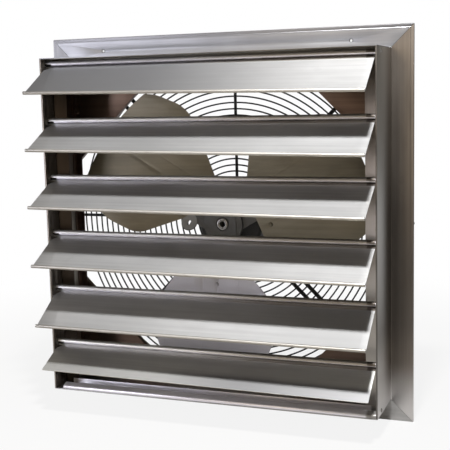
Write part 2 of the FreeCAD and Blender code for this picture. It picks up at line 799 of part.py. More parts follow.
BLADE_OUTLINE = (
    ("root_distance - trailing_root_step", "-trailing_root", "root_round"),
    ("root_distance + trailing_run", "-trailing_width", "trailing_round"),
    (TIP, "-trailing_tip", "trailing_tip_round"),
    (f"{TIP} + tip_bulge", "leading_tip", "leading_tip_round"),
    ("root_distance + leading_run", "leading_width", "leading_round"),
    ("root_distance + hip_run", "hip_width", "hip_round"),
    ("root_distance + shoulder_run", "shoulder_width", "root_round"),
    ("root_distance", "leading_root", "root_round"),
)
ARM_OUTLINE = (
    ("-arm_overlap", "-arm_half_width", "0"),
    ("root_distance", "-arm_half_width", "arm_round"),
    ("root_distance + pad_start", "-pad_trailing_width", "pad_round"),
    ("root_distance + pad_run / 2", "-pad_trailing_width", "pad_round"),
    ("root_distance + pad_run", "-pad_tip_half_width", "pad_round"),
    ("root_distance + pad_run", "pad_tip_half_width", "pad_round"),
    ("root_distance + pad_run / 2", "pad_leading_width", "pad_round"),
    ("root_distance", "arm_half_width", "arm_round"),
    ("-arm_overlap", "arm_half_width", "0"),
)
EAR_SLOT = (
    ("ear_run - ear_slot_width / 2", "ear_across - ear_slot_length / 2", "ear_slot_width / 2"),
    ("ear_run + ear_slot_width / 2", "ear_across - ear_slot_length / 2", "ear_slot_width / 2"),
    ("ear_run + ear_slot_width / 2", "ear_across + ear_slot_length / 2", "ear_slot_width / 2"),
    ("ear_run - ear_slot_width / 2", "ear_across + ear_slot_length / 2", "ear_slot_width / 2"),
)
BLADE_RIVETS = (
    ("root_distance + near_rivet_run", "-near_rivet_trailing"),
    ("root_distance + far_rivet_run", "-far_rivet_across"),
    ("root_distance + near_rivet_run", "near_rivet_leading"),
)


def blade_shape():
    paddle = curved_sheet(CAMBER - number("blade_sheet"), CAMBER, rounded_face(BLADE_OUTLINE))
    sweep = Part.makeCylinder(REACH, REACH, vector(0, FAN_DEPTH - REACH / 2, 0), ALONG_Y)
    return paddle.common(sweep).removeSplitter()


def arm_shape():
    """One arm of the spider, with a slotted ear beside the paddle's root."""
    back = CAMBER + number("arm_sheet")
    rim = Part.Circle(vector(number("ear_run"), 0, number("ear_across")), ALONG_Y, number("ear_radius"))
    arm = curved_sheet(CAMBER, back, rounded_face(ARM_OUTLINE))
    ear = curved_sheet(CAMBER, back, Part.Face(Part.Wire([rim.toShape()])))
    return arm.fuse(ear).cut(column(rounded_face(EAR_SLOT))).removeSplitter()


def rivet_frame(along, across):
    """Where a blade rivet starts on the paddle's face, and the way it points."""
    front = CAMBER - number("blade_sheet")
    centre = camber_centre()
    way = vector(0, surface_depth(across, front), across) - vector(0, centre.y, centre.z)
    way.normalize()
    return vector(along, surface_depth(across, front), across) - way * number("seat_play"), way


def fan():
    grip = number("blade_sheet + arm_sheet + 2 * seat_play")
    bore = number("rivet_bore / 2")
    blade = blade_shape()
    arm = arm_shape()
    rivets = []
    for along, across in BLADE_RIVETS:
        start, way = rivet_frame(number(along), number(across))
        hole = Part.makeCylinder(bore, 3 * grip, start - way * grip, way)
        blade = blade.cut(hole)
        arm = arm.cut(hole)
        rivets.append(rivet(start, way, grip))
    hub_back = FAN_DEPTH + number("hub_thickness / 2")
    hub = Part.makeCylinder(number("hub_radius"), number("hub_thickness"), vector(0, hub_back, 0), -ALONG_Y)
    arms = []
    all_rivets = []
    count = int(number("blade_count"))
    for index in range(count):
        angle = number("first_blade_angle") + index * 360 / count
        spin = FreeCAD.Rotation(ALONG_Y, -angle)
        turn = FreeCAD.Placement(vector(0, 0, 0), spin)
        arms.append(arm.transformed(turn.toMatrix()))
        all_rivets += [item.transformed(turn.toMatrix()) for item in rivets]
        single(f"fan_blade_{index + 1}", blade.transformed(turn.toMatrix()))
    bore_radius = number("boss_diameter / 2 + seat_play")
    eye = Part.makeCylinder(bore_radius, REACH, vector(0, FAN_DEPTH - REACH / 2, 0), ALONG_Y)
    hub_front = vector(0, hub_back - number("hub_thickness"), 0)
    recess = Part.makeCylinder(number("hub_recess / 2"), number("hub_recess_depth"), hub_front, ALONG_Y)
    single("fan_spider", hub.fuse(arms).cut([eye, recess]).removeSplitter())
    group("blade_rivets", all_rivets)


fan()
doc.recompute()


def check_and_write():
    """Stops on a failed feature or a bad shape, then writes each sub-part."""
    for thing in doc.Objects:
        if "Invalid" in thing.State or "Error" in thing.State:
            raise RuntimeError(f"{thing.Name} ({thing.Label}) did not build")
    for thing in NODES:
        if thing.Shape.isNull() or not thing.Shape.isValid() or thing.Shape.Volume <= 0:
            raise RuntimeError(f"{thing.Label} has no valid shape")
    os.makedirs("parts", exist_ok=True)
    for thing in NODES:
        thing.Shape.exportStep(f"parts/{thing.Label}.step")
        print(thing.Label, len(thing.Shape.Solids), round(thing.Shape.Volume))


check_and_write()
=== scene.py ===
import json
import math

import bmesh
import bpy
from mathutils import Matrix, Vector


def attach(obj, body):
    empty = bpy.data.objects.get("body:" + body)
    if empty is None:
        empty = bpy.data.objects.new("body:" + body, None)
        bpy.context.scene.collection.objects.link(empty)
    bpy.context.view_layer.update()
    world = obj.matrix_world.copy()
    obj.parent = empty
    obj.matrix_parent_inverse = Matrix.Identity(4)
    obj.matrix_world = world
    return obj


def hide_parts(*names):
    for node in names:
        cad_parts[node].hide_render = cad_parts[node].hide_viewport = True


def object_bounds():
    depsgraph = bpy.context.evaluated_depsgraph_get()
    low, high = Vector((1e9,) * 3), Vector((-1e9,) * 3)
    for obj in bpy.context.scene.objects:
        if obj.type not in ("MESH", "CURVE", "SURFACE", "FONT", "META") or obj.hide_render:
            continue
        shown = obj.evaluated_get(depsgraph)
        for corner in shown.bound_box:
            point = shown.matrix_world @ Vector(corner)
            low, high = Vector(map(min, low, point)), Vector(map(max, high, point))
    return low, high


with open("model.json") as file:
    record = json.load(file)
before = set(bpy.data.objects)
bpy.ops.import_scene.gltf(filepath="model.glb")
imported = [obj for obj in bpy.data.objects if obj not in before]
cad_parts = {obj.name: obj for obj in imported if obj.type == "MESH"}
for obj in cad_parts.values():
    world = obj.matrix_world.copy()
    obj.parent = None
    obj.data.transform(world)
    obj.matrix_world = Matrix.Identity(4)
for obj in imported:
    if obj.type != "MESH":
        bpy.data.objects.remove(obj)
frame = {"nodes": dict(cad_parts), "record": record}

# Wall exhaust fan with a six-louvre shutter: sheet metal, wire guard, looks, light and camera.
# Lengths are in metres and in the frame of the solids; MM turns millimetres into metres.

CAD_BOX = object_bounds()
RECORD = frame["record"]
BODY_OF = {node: body for body, nodes in RECORD["behaviour"]["bodies"].items() for node in nodes}
SLOT_OF = {part["node"]: part["material_slot"] for part in RECORD["subparts"]}
MM = 0.001

CASE_HALF = 330 * MM
CASE_FRONT = -125 * MM
CASE_SHEET = 1.5 * MM
FLANGE_RIM = 371 * MM
WALL_FOLD = 2 * MM
HEM_WIDTH = 6 * MM
HEM_STEP = 0.6 * MM
HEM_SLOPE = 0.5 * MM
HEM_CLEAR = 0.4 * MM
MITRE_GAP = 0.4 * MM
RELIEF = 5 * MM
FIXING = (256 * MM, 345 * MM)
FIXING_BORE = 5 * MM
RAIL_SHEET = 1.2 * MM
RAIL_BACK = -81.2 * MM
RAIL_UPSTAND = 10 * MM
RAIL_LEFT = -310.7 * MM
RAIL_RIGHT = 327 * MM
SILL_FRONT = 6.5 * MM
SILL_SLOPE = 12 * MM
SILL_LIP = 11.5 * MM
SILL_TURN_DOWN = 2.2 * MM
RAIL_FOLD = 1.2 * MM
NOSE_FOLD = 2.4 * MM
CREST_FOLD = 0.9 * MM

PIVOT_DEPTH = -109 * MM
PIVOT_HEIGHTS = [(318.5 - 110.5 * row) * MM for row in range(6)]
OPEN_ANGLES = (56.5, 58.5, 60.5, 59, 55, 59.5)
TWISTS = (6.0, 6.2, 4.5, 4.0, 2.0, 7.5)
LOUVRE_HALF = 324 * MM
LOUVRE_SHEET = 1.6 * MM
LOUVRE_SKIN = LOUVRE_SHEET * 0.96
BARREL_MIDDLE = 4.9 * MM
BARREL_FACE = (-115.4 * MM, -114.9 * MM)
CHORD = 107 * MM
LAST_CHORD = 82 * MM
CURL_END = 243
BEAD_END = -285
EDGE_ROLL = 6.5 * MM
CORNER_CUT = 12 * MM
LOUVRE_SPANS = 16
UNDER_WAY = Vector((0, 0.87, -0.5))
BEAD_WAY = Vector((0, 0.34, -0.94))
BARREL_END = 14 * MM
SHADED_UNDERSIDE = "shaded_underside"
UNDER_LIMIT = 0.25
BEAD_SHADE = 0.6
BARREL_END_SHADE = 0.9

EAR_ANGLES = (176.6, 296.6, 56.6)
EAR_RADIUS = 70.7 * MM

RING_COUNT = 22
RING_WIRE = 3.2 * MM
RING_OUTER = 348.9 * MM
RING_INNER = 85.4 * MM
RING_DEPTH = 67.8 * MM
WIRE_SIDES = 10
RING_STEPS = 120

CAMERA_TURN = (21.03, 7.69, 1.35)
CAMERA_PLACE = (0.6804, -1.7719, 0.2525)
CAMERA_LENS = 77.384
CAMERA_SENSOR = 36
BACKDROP_WAY = (-0.356, 0.925, -0.134)


# Small tools

def deselect():
    if bpy.context.mode != "OBJECT":
        bpy.ops.object.mode_set(mode="OBJECT")
    bpy.ops.object.select_all(action="DESELECT")


def only(piece):
    deselect()
    piece.select_set(True)
    bpy.context.view_layer.objects.active = piece


def edit(piece):
    only(piece)
    bpy.ops.object.mode_set(mode="EDIT")


def done():
    bpy.ops.object.mode_set(mode="OBJECT")


def place_of(item):
    """The middle of a vertex, edge or face."""
    if isinstance(item, bmesh.types.BMFace):
        return item.calc_center_median()
    if isinstance(item, bmesh.types.BMEdge):
        return (item.verts[0].co + item.verts[1].co) / 2
    return item.co


def choose(piece, kind, test):
    """In edit mode, selects just the vertices, edges or faces whose middle passes the test."""
    modes = {"verts": "VERT", "edges": "EDGE", "faces": "FACE"}
    bpy.ops.mesh.select_mode(type=modes[kind])
    bpy.ops.mesh.select_all(action="DESELECT")
    mesh = bmesh.from_edit_mesh(piece.data)
    for item in getattr(mesh, kind):
        if test(place_of(item)):
            item.select_set(True)
    mesh.select_flush_mode()
    bmesh.update_edit_mesh(piece.data)


def modify(piece, kind, **settings):
    """Adds a modifier and applies it."""
    only(piece)
    modifier = piece.modifiers.new(kind.title(), kind)
    for key, value in settings.items():
        setattr(modifier, key, value)
    bpy.ops.object.modifier_apply(modifier=modifier.name)


def soften(piece, width, segments=2, degrees=30):
    """Rounds the sharp edges a little and shades the rest smooth."""
    modify(
        piece, "BEVEL", width=width, segments=segments, limit_method="ANGLE",
        angle_limit=math.radians(degrees), miter_outer="MITER_ARC", harden_normals=False,
    )
    only(piece)
    bpy.ops.object.shade_smooth_by_angle(angle=math.radians(degrees))


def dress(piece, material, *nodes):
    """The piece stands for solids, rides on their body and takes the look it is given."""
    piece.data.materials.clear()
    piece.data.materials.append(material)
    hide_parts(*nodes)
    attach(piece, BODY_OF[nodes[0]])
    return piece


def traced(node, name):
    """A new piece that starts from the solid's own faces, merged into one skin."""
    mesh = frame["nodes"][node].data.copy()
    mesh.name = name
    piece = bpy.data.objects.new(name, mesh)
    bpy.context.scene.collection.objects.link(piece)
    edit(piece)
    bpy.ops.mesh.select_all(action="SELECT")
    bpy.ops.mesh.customdata_custom_splitnormals_clear()
    bpy.ops.mesh.remove_doubles(threshold=0.002 * MM)
    bpy.ops.mesh.dissolve_limited(angle_limit=math.radians(0.5))
    bpy.ops.mesh.normals_make_consistent(inside=False)
    done()
    return piece


def copy_of(piece, name):
    """A copy with a mesh of its own."""
    other = piece.copy()
    other.data = piece.data.copy()
    other.name = name
    other.data.name = name
    bpy.context.scene.collection.objects.link(other)
    return other


def settle(piece, turn, axis="X", shift=(0, 0, 0)):
    """Turns a piece about an axis through the origin, moves it, and leaves that in its mesh."""
    piece.matrix_world = Matrix.Translation(shift) @ Matrix.Rotation(math.radians(turn), 4, axis)
    only(piece)
    bpy.ops.object.transform_apply(location=True, rotation=True, scale=True)
    return piece


def strip(name, section, left, right):
    """An open sheet: a section of Y and Z points, drawn out along X from one end to the other."""
    deselect()
    bpy.ops.mesh.primitive_plane_add(size=MM)
    piece = bpy.context.object
    piece.name = name
    piece.data.name = name
    bpy.ops.object.mode_set(mode="EDIT")
    bpy.ops.mesh.select_mode(type="VERT")
    bpy.ops.mesh.select_all(action="SELECT")
    bpy.ops.mesh.merge(type="CENTER")
    bpy.ops.transform.translate(value=(left, *section[0]))
    for start, end in zip(section, section[1:]):
        step = (0, end[0] - start[0], end[1] - start[1])
        bpy.ops.mesh.extrude_vertices_move(TRANSFORM_OT_translate={"value": step})
    bpy.ops.mesh.select_all(action="SELECT")
    bpy.ops.mesh.extrude_edges_move(TRANSFORM_OT_translate={"value": (right - left, 0, 0)})
    bpy.ops.mesh.select_all(action="SELECT")
    bpy.ops.mesh.normals_make_consistent(inside=False)
    return piece


def fold(piece, corner, radius, segments=5):
    """Rounds the fold line that runs along X through a Y and Z point."""
    place = Vector(corner)
    choose(piece, "edges", lambda middle: (middle.yz - place).length < 0.1 * MM)
    bpy.ops.mesh.bevel(offset=radius, segments=segments, affect="EDGES")


def cut(piece, wanted, point, normal):
    """Trims the faces that are wanted for it by a plane, on the side that its normal points to."""
    def outside(middle):
        return wanted(middle) and (middle - Vector(point)).dot(Vector(normal)) > 0

    choose(piece, "faces", wanted)
    bpy.ops.mesh.bisect(plane_co=point, plane_no=normal)
    choose(piece, "faces", outside)
    bpy.ops.mesh.delete(type="FACE")


def thicken(piece, sheet):
    done()
    modify(piece, "SOLIDIFY", thickness=sheet, offset=0, use_even_offset=True)
    edit(piece)
    bpy.ops.mesh.select_all(action="SELECT")
    bpy.ops.mesh.normals_make_consistent(inside=False)
    done()


def arc(middle, radius, start, end, steps):
    """Points on an arc of Y and Z, with its angles in degrees from +Y towards +Z."""
    angles = [math.radians(start + (end - start) * step / steps) for step in range(steps + 1)]
    return [(middle[0] + radius * math.cos(a), middle[1] + radius * math.sin(a)) for a in angles]


# Looks

def group_socket(group, name, kind, direction, value=None):
    socket = group.interface.new_socket(name=name, in_out=direction, socket_type=kind)
    if value is not None:
        socket.default_value = value


def add(tree, kind, **settings):
    node = tree.nodes.new(kind)
    for key, value in settings.items():
        setattr(node, key, value)
    return node


def noise(tree, vector, scale, detail=3.0, roughness=0.55):
    node = add(tree, "ShaderNodeTexNoise")
    node.inputs["Scale"].default_value = scale
    node.inputs["Detail"].default_value = detail
    node.inputs["Roughness"].default_value = roughness
    tree.links.new(vector, node.inputs["Vector"])
    return node.outputs["Fac"]


def ranged(tree, value, low, high, to_low=0.0, to_high=1.0):
    node = add(tree, "ShaderNodeMapRange", interpolation_type="SMOOTHSTEP")
    tree.links.new(value, node.inputs["Value"])
    for name, level in (("From Min", low), ("From Max", high), ("To Min", to_low), ("To Max", to_high)):
        node.inputs[name].default_value = level
    return node.outputs["Result"]


def calculate(tree, operation, first, second):
    node = add(tree, "ShaderNodeMath", operation=operation)
    for socket, value in zip(node.inputs, (first, second)):
        if isinstance(value, (int, float)):
            socket.default_value = value
        else:
            tree.links.new(value, socket)
    return node.outputs["Value"]


def mixed(tree, factor, first, second, blend="MIX"):
    node = add(tree, "ShaderNodeMix", data_type="RGBA", blend_type=blend)
    for socket, value in ((node.inputs[0], factor), (node.inputs[6], first), (node.inputs[7], second)):
        if isinstance(value, (int, float)):
            socket.default_value = value
        elif isinstance(value, tuple):
            socket.default_value = (*value, 1)
        else:
            tree.links.new(value, socket)
    return node.outputs[2]


def scaled(tree, vector, factors):
    node = add(tree, "ShaderNodeMapping")
    tree.links.new(vector, node.inputs["Vector"])
    node.inputs["Scale"].default_value = factors
    return node.outputs["Vector"]


def rolled_sheet_group():
    """Rolling streaks along X, cloudy oxide and small smudges on mill-finish sheet."""
    group = bpy.data.node_groups.new("rolled_sheet", "ShaderNodeTree")
    group_socket(group, "Vector", "NodeSocketVector", "INPUT")
    group_socket(group, "Light", "NodeSocketColor", "INPUT", (0.6, 0.6, 0.6, 1))
    group_socket(group, "Dark", "NodeSocketColor", "INPUT", (0.4, 0.4, 0.4, 1))
    group_socket(group, "Color", "NodeSocketColor", "OUTPUT")
    group_socket(group, "Height", "NodeSocketFloat", "OUTPUT")
    start = add(group, "NodeGroupInput")
    end = add(group, "NodeGroupOutput")
    vector = start.outputs["Vector"]
    streaks = noise(group, scaled(group, vector, (2.0, 160.0, 160.0)), 1.0, 4.0)
    clouds = noise(group, scaled(group, vector, (6.0, 14.0, 14.0)), 1.0, 3.0)
    smudges = noise(group, vector, 38.0, 2.0)
    fine = calculate(group, "MULTIPLY", streaks, 0.45)
    broad = calculate(group, "MULTIPLY", clouds, 0.55)
    tone = ranged(group, calculate(group, "ADD", fine, broad), 0.3, 0.7)
    colour = mixed(group, tone, start.outputs["Dark"], start.outputs["Light"])
    marks = ranged(group, smudges, 0.62, 0.75, 0.0, 0.25)
    colour = mixed(group, marks, colour, start.outputs["Dark"])
    for name, value in (("Color", colour), ("Height", streaks)):
        group.links.new(value, end.inputs[name])
    return group


def speckled_group():
    """Fine grain and soft patches for paint, plastic and machined steel."""
    group = bpy.data.node_groups.new("speckled", "ShaderNodeTree")
    group_socket(group, "Vector", "NodeSocketVector", "INPUT")
    group_socket(group, "Light", "NodeSocketColor", "INPUT", (0.6, 0.6, 0.6, 1))
    group_socket(group, "Dark", "NodeSocketColor", "INPUT", (0.4, 0.4, 0.4, 1))
    group_socket(group, "Grain", "NodeSocketFloat", "INPUT", 900.0)
    group_socket(group, "Color", "NodeSocketColor", "OUTPUT")
    group_socket(group, "Height", "NodeSocketFloat", "OUTPUT")
    start = add(group, "NodeGroupInput")
    end = add(group, "NodeGroupOutput")
    vector = start.outputs["Vector"]
    grain = add(group, "ShaderNodeTexNoise")
    group.links.new(vector, grain.inputs["Vector"])
    group.links.new(start.outputs["Grain"], grain.inputs["Scale"])
    patches = noise(group, vector, 22.0)
    fine = calculate(group, "MULTIPLY", grain.outputs["Fac"], 0.4)
    broad = calculate(group, "MULTIPLY", patches, 0.6)
    tone = ranged(group, calculate(group, "ADD", fine, broad), 0.35, 0.65)
    colour = mixed(group, tone, start.outputs["Dark"], start.outputs["Light"])
    for name, value in (("Color", colour), ("Height", grain.outputs["Fac"])):
        group.links.new(value, end.inputs[name])
    return group


ROLLED = rolled_sheet_group()
SPECKLED = speckled_group()


def new_look(name, group, light, dark):
    """A material with a surface group on object coordinates and a shader to feed."""
    look = bpy.data.materials.new(name)
    look.use_nodes = True
    tree = look.node_tree
    shader = next(node for node in tree.nodes if node.type == "BSDF_PRINCIPLED")
    surface = add(tree, "ShaderNodeGroup", node_tree=group)
    surface.inputs["Light"].default_value = (*light, 1)
    surface.inputs["Dark"].default_value = (*dark, 1)
    coordinates = add(tree, "ShaderNodeTexCoord")
    tree.links.new(coordinates.outputs["Object"], surface.inputs["Vector"])
    return look, tree, shader, surface, coordinates


def bump(tree, shader, height, strength, distance):
    node = add(tree, "ShaderNodeBump")
    node.inputs["Strength"].default_value = strength
    node.inputs["Distance"].default_value = distance
    tree.links.new(height, node.inputs["Height"])
    tree.links.new(node.outputs["Normal"], shader.inputs["Normal"])


def sheet_metal(name, light, dark, metallic=0.85, roughness=0.42, turn=(0, 0, 0)):
    """Mill-finish sheet; turn lays the rolling direction another way."""
    look, tree, shader, surface, coordinates = new_look(name, ROLLED, light, dark)
    if any(turn):
        mapping = add(tree, "ShaderNodeMapping")
        mapping.inputs["Rotation"].default_value = [math.radians(angle) for angle in turn]
        tree.links.new(coordinates.outputs["Object"], mapping.inputs["Vector"])
        tree.links.new(mapping.outputs["Vector"], surface.inputs["Vector"])
    tree.links.new(surface.outputs["Color"], shader.inputs["Base Color"])
    shader.inputs["Metallic"].default_value = metallic
    shader.inputs["Roughness"].default_value = roughness
    bump(tree, shader, surface.outputs["Height"], 0.15, 0.2 * MM)
    return look


def plain_look(name, light, dark, metallic, roughness):
    """Paint, plastic or machined steel with a fine grain."""
    look, tree, shader, surface, _ = new_look(name, SPECKLED, light, dark)
    tree.links.new(surface.outputs["Color"], shader.inputs["Base Color"])
    shader.inputs["Metallic"].default_value = metallic
    shader.inputs["Roughness"].default_value = roughness
    bump(tree, shader, surface.outputs["Height"], 0.1, 0.1 * MM)
    return look


def length_of(tree, first, second):
    squares = [calculate(tree, "MULTIPLY", way, way) for way in (first, second)]
    return calculate(tree, "SQRT", calculate(tree, "ADD", *squares), 0.0)


def overlap(tree, first, second):
    return calculate(tree, "MULTIPLY", first, second)


def toned(look, reach, tint):
    """Mixes a tint into a look's base colour where a mask of object coordinates asks for it."""
    tree = look.node_tree
    shader = next(node for node in tree.nodes if node.type == "BSDF_PRINCIPLED")
    socket = shader.inputs["Base Color"]
    before = socket.links[0].from_socket
    split = add(tree, "ShaderNodeSeparateXYZ")
    coordinates = add(tree, "ShaderNodeTexCoord")
    tree.links.new(coordinates.outputs["Object"], split.inputs["Vector"])
    mask = reach(tree, split.outputs["X"], split.outputs["Y"], split.outputs["Z"])
    tree.links.new(mixed(tree, mask, before, tint), socket)
    return look


# Masks: each says how far a tint reaches at a place on the piece; most of them paint light or shade onto it.

def wall_light_and_corner_shade(tree, across, depth, height):
    return ranged(tree, depth, -70 * MM, -8 * MM, 0.8, 0.0)


def shaded_inner_wall(tree, across, depth, height):
    return ranged(tree, depth, -6 * MM, -2 * MM, 1.0, 0.0)


def shaded_hem_band(tree, across, depth, height):
    hem = FLANGE_RIM - HEM_WIDTH
    return ranged(tree, height, hem - 2 * MM, hem - 1 * MM, 0.0, 0.85)


def shaded_hole_rim(tree, across, depth, height):
    beside = calculate(tree, "SUBTRACT", calculate(tree, "ABSOLUTE", across, 0.0), FIXING[0])
    above = calculate(tree, "SUBTRACT", height, FIXING[1])
    return ranged(tree, length_of(tree, beside, above), 3.2 * MM, 3.8 * MM, 1.0, 0.0)


def shaded_middle(tree, across, depth, height):
    rise = ranged(tree, height, -250 * MM, -170 * MM)
    return overlap(tree, rise, ranged(tree, height, -90 * MM, 260 * MM, 0.6, 0.0))


def floor_lit_low_end(tree, across, depth, height):
    return ranged(tree, height, -350 * MM, -250 * MM, 0.9, 0.0)


def lit_lower_half(tree, across, depth, height):
    return ranged(tree, height, -330 * MM, 180 * MM, 0.85, 0.0)


def shaded_rear_leaf(tree, across, depth, height):
    return ranged(tree, depth, RAIL_BACK - 2.5 * MM, RAIL_BACK - 1.5 * MM)


def lit_low_inner_wall(tree, across, depth, height):
    wall = shaded_inner_wall(tree, across, depth, height)
    return overlap(tree, wall, ranged(tree, height, -250 * MM, 150 * MM, 0.8, 0.0))


def ears(tree, across, depth, height):
    nearest = None
    for angle in EAR_ANGLES:
        way = math.radians(angle)
        offsets = (
            calculate(tree, "SUBTRACT", across, EAR_RADIUS * math.cos(way)),
            calculate(tree, "SUBTRACT", height, EAR_RADIUS * math.sin(way)),
        )
        far = length_of(tree, *offsets)
        nearest = far if nearest is None else calculate(tree, "MINIMUM", nearest, far)
    return ranged(tree, nearest, 15 * MM, 17 * MM, 0.8, 0.0)


def lit_low_blade(tree, across, depth, height):
    return ranged(tree, height, -150 * MM, -60 * MM, 0.85, 0.0)


def shaded_bore(tree, across, depth, height):
    return ranged(tree, length_of(tree, across, height), 5.7 * MM, 6.1 * MM, 1.0, 0.0)


def shaded_boss_groove(tree, across, depth, height):
    radius = length_of(tree, across, height)
    past = ranged(tree, radius, 7.4 * MM, 7.7 * MM)
    return overlap(tree, past, ranged(tree, radius, 8.9 * MM, 9.2 * MM, 1.0, 0.0))


# Painted shadow: darkens the rod's left end, where it runs into the left jamb.
def shaded_rod_end(tree, across, depth, height):
    return ranged(tree, across, -313 * MM, -310 * MM, 1.0, 0.0)


def barrel_reflection_and_shade(tree, across, depth, height):
    near = ranged(tree, depth, *BARREL_FACE)
    return overlap(tree, near, ranged(tree, across, -100 * MM, 150 * MM, 0.0, 0.85))


def shaded_barrel_end(tree, across, depth, height):
    near = ranged(tree, depth, *BARREL_FACE)
    return overlap(tree, near, ranged(tree, across, 308 * MM, 310 * MM))


def shaded_sill_end(tree, across, depth, height):
    return ranged(tree, across, 306 * MM, 312 * MM)


def top_left(tree, across, depth, height):
    first = ranged(tree, height, 232 * MM, 240 * MM)
    return overlap(tree, first, ranged(tree, across, -120 * MM, 270 * MM, 1.0, 0.0))


def shaded_low_right(tree, across, depth, height):
    fifth = ranged(tree, height, -118 * MM, -110 * MM, 1.0, 0.0)
    return overlap(tree, fifth, ranged(tree, across, 0, 300 * MM, 0.0, 0.7))


def dimmed_lit_corner(tree, across, depth, height):
    lip = ranged(tree, depth, -156 * MM, -144 * MM, 1.0, 0.0)
    return overlap(tree, lip, ranged(tree, across, -200 * MM, 120 * MM))


def front_edge(tree, across, depth, height):
    return ranged(tree, depth, -123.6 * MM, -122.6 * MM, 0.9, 0.0)


def shaded_underside(tree, across, depth, height):
    return add(tree, "ShaderNodeAttribute", attribute_name=SHADED_UNDERSIDE).outputs["Fac"]


UPRIGHT = (0, 90, 0)
SILVER = ((0.345, 0.35, 0.37), (0.235, 0.237, 0.25))
CASE_LOOK = sheet_metal("case_sheet", *SILVER)
# Painted shade: the hemmed band along the flange rim is darkened so that it shows no lamp highlight.
toned(CASE_LOOK, shaded_hem_band, (0.20, 0.20, 0.21))
# Painted shade: a dark ring round each fixing hole stands for the shade in the hole.
toned(CASE_LOOK, shaded_hole_rim, (0.02, 0.02, 0.02))
LEFT_LOOK = sheet_metal("case_sheet_left", *SILVER, 1.0, 0.42, UPRIGHT)
# Painted shade: the inside of the left wall is dark brown, while its flange keeps the silver.
toned(LEFT_LOOK, shaded_inner_wall, (0.12, 0.10, 0.085))
# Painted light: the lower part of that inside wall is lighter.
toned(LEFT_LOOK, lit_low_inner_wall, (0.40, 0.38, 0.34))
# Painted light: the bottom side is a lighter grey copy of the case sheet.
BOTTOM_LOOK = sheet_metal("case_sheet_bottom", (0.5, 0.5, 0.5), (0.36, 0.36, 0.36))
# Painted reflection and shade: the right side is a dark brown copy of the case sheet.
RIGHT_LOOK = sheet_metal(
    "case_sheet_right", (0.25, 0.222, 0.195), (0.165, 0.145, 0.125), 1.0, 0.38, UPRIGHT,
)
# Painted light and shade: the wall is grey towards its front and keeps the dark brown in the corner by the
# flange.
toned(RIGHT_LOOK, wall_light_and_corner_shade, (0.56, 0.555, 0.545))
# Painted shade: a darker band across the lower middle of the right side.
toned(RIGHT_LOOK, shaded_middle, (0.10, 0.09, 0.08))
# Painted light: the right side turns pale towards its bottom, as if lit from the floor.
toned(RIGHT_LOOK, floor_lit_low_end, (0.75, 0.74, 0.74))
toned(RIGHT_LOOK, front_edge, (0.12, 0.11, 0.1))
# Painted reflection and shade: the right jamb is a dark brown copy of the sheet.
RIGHT_JAMB_LOOK = sheet_metal(
    "jamb_sheet_right", (0.24, 0.21, 0.18), (0.16, 0.14, 0.12), 1.0, 0.4, UPRIGHT,
)
# Painted light: the right jamb is lighter towards its bottom.
toned(RIGHT_JAMB_LOOK, lit_lower_half, (0.56, 0.54, 0.50))
toned(RIGHT_JAMB_LOOK, front_edge, (0.12, 0.11, 0.1))
# Painted light: the left jamb is a lighter grey-brown copy of the sheet.
LEFT_JAMB_LOOK = sheet_metal(
    "jamb_sheet_left", (0.44, 0.41, 0.37), (0.30, 0.27, 0.24), 1.0, 0.4, UPRIGHT,
)
# Painted shade: the jamb's rear leaf is near black.
toned(LEFT_JAMB_LOOK, shaded_rear_leaf, (0.045, 0.036, 0.03))
# Painted shade and brown reflection: the gussets, rear angles and gusset rivets are a dark brown copy of the
# sheet.
GUSSET_LOOK = sheet_metal("gusset_sheet", (0.17, 0.12, 0.095), (0.11, 0.075, 0.06), 1.0, 0.4)
# Painted shade and brown reflection: the header under the top wall is a dark brown copy of the sheet.
HEADER_LOOK = sheet_metal("header_sheet", (0.24, 0.225, 0.20), (0.16, 0.15, 0.13), 1.0, 0.4)
# Painted light: the sill is a pale lavender copy of the sheet, bright though it lies in the lowest louvre's
# shadow.
RAIL_LOOK = sheet_metal("rail_sheet", (0.92, 0.91, 0.96), (0.76, 0.75, 0.80), 0.6, 0.34)
# Painted shade: the sill's right end is darkened where the key lamp reaches it.
toned(RAIL_LOOK, shaded_sill_end, (0.30, 0.29, 0.28))
LOUVRE_LOOK = sheet_metal("louvre_sheet", (0.70, 0.70, 0.70), (0.56, 0.56, 0.56), 1.0, 0.52)
# Painted shade: the top louvre darkens towards its left end.
toned(LOUVRE_LOOK, top_left, (0.31, 0.31, 0.32))
# Painted shade: the fifth louvre darkens towards its right end, where the key lamp's highlight falls.
toned(LOUVRE_LOOK, shaded_low_right, (0.36, 0.36, 0.36))
# Painted shade on the faces that louvre() marks: undersides, the bead's lower side and the barrel's right
# end.
toned(LOUVRE_LOOK, shaded_underside, (0.36, 0.335, 0.285))
# Painted light: the lowest louvre is a lighter copy of the louvre sheet, which lifts its shaded upper half.
LAST_LOUVRE_LOOK = sheet_metal("last_louvre_sheet", (0.84, 0.84, 0.82), (0.70, 0.70, 0.68), 1.0, 0.48)
# Painted shade: the front right of the lowest louvre is darkened under the key lamp's highlight.
toned(LAST_LOUVRE_LOOK, dimmed_lit_corner, (0.36, 0.36, 0.365))
# The same painted shade on the lowest louvre's marked faces.
toned(LAST_LOUVRE_LOOK, shaded_underside, (0.5, 0.47, 0.4))
for look in (LOUVRE_LOOK, LAST_LOUVRE_LOOK):
    # Painted reflection and shade: the barrel and the sheet just under it turn dark brown towards the right.
    toned(look, barrel_reflection_and_shade, (0.25, 0.225, 0.19))
    # Painted shade: the barrel's right end, which the key lamp would light, is darkened.
    toned(look, shaded_barrel_end, (0.13, 0.115, 0.1))
